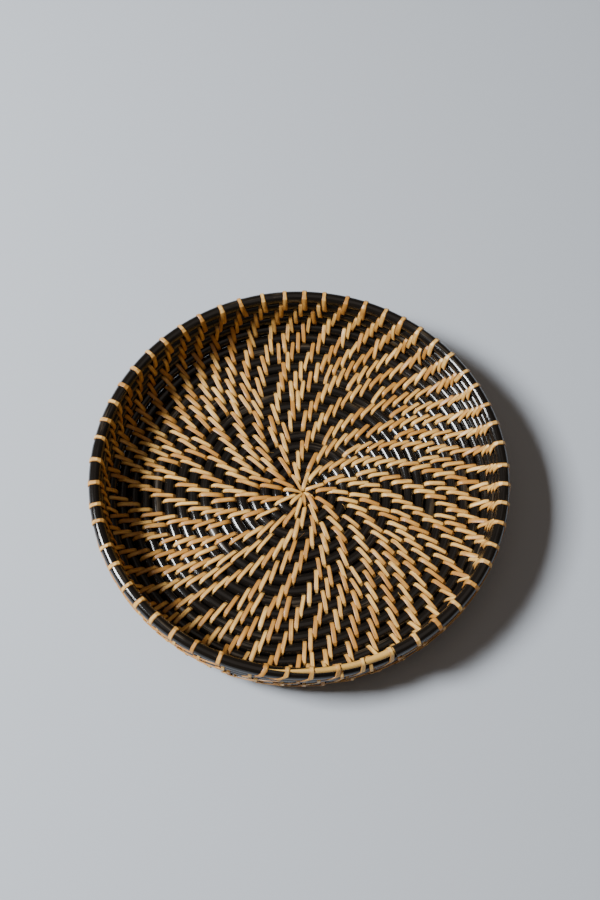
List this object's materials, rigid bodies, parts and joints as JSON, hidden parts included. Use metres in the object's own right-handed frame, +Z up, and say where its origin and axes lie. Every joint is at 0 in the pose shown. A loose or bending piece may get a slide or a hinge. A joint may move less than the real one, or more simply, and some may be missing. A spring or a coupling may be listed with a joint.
{
  "type": "coiled tray basket",
  "caption": "Round shallow coiled basket with a flat base, a short, nearly upright wall and a level rim, in dark cane lashed with light split strips.",
  "frame": {"origin": "on the floor, at the middle of the bounding box's underside, which is the basket's axis", "axes": "+Z up along the basket's axis, -Y towards the front, where the end of the rim cane lies, +X to the right"},
  "size_m": [0.2782, 0.2786, 0.0451],
  "materials": {
    "dyed_cane": "black-dyed cane with a glossy lacquer",
    "split_strip": "natural split cane, satin",
    "shaved_cane": "natural shaved cane, matt"
  },
  "bodies": {
    "root": {"base_cane_01": "dyed_cane", "base_cane_02": "dyed_cane", "base_cane_03": "dyed_cane", "base_cane_04": "dyed_cane", "base_cane_05": "dyed_cane", "base_cane_06": "dyed_cane", "base_cane_07": "dyed_cane", "base_cane_08": "dyed_cane", "base_cane_09": "dyed_cane", "base_cane_10": "dyed_cane", "base_cane_11": "dyed_cane", "base_cane_12": "dyed_cane", "base_cane_13": "dyed_cane", "base_cane_14": "dyed_cane", "base_cane_15": "dyed_cane", "base_lashing_02": "split_strip", "base_lashing_03": "split_strip", "base_lashing_04": "split_strip", "base_lashing_05": "split_strip", "base_lashing_06": "split_strip", "base_lashing_07": "split_strip", "base_lashing_08": "split_strip", "base_lashing_09": "split_strip", "base_lashing_10": "split_strip", "base_lashing_11": "split_strip", "base_lashing_12": "split_strip", "base_lashing_13": "split_strip", "base_lashing_14": "split_strip", "base_lashing_15": "split_strip", "rim_cane": "dyed_cane", "rim_cane_tail": "shaved_cane", "rim_lashing": "split_strip", "wall_cane_01": "dyed_cane", "wall_cane_02": "dyed_cane", "wall_cane_03": "dyed_cane", "wall_cane_04": "dyed_cane", "wall_lashing_01": "split_strip", "wall_lashing_02": "split_strip", "wall_lashing_03": "split_strip", "wall_lashing_04": "split_strip"}
  },
  "joints": []
}
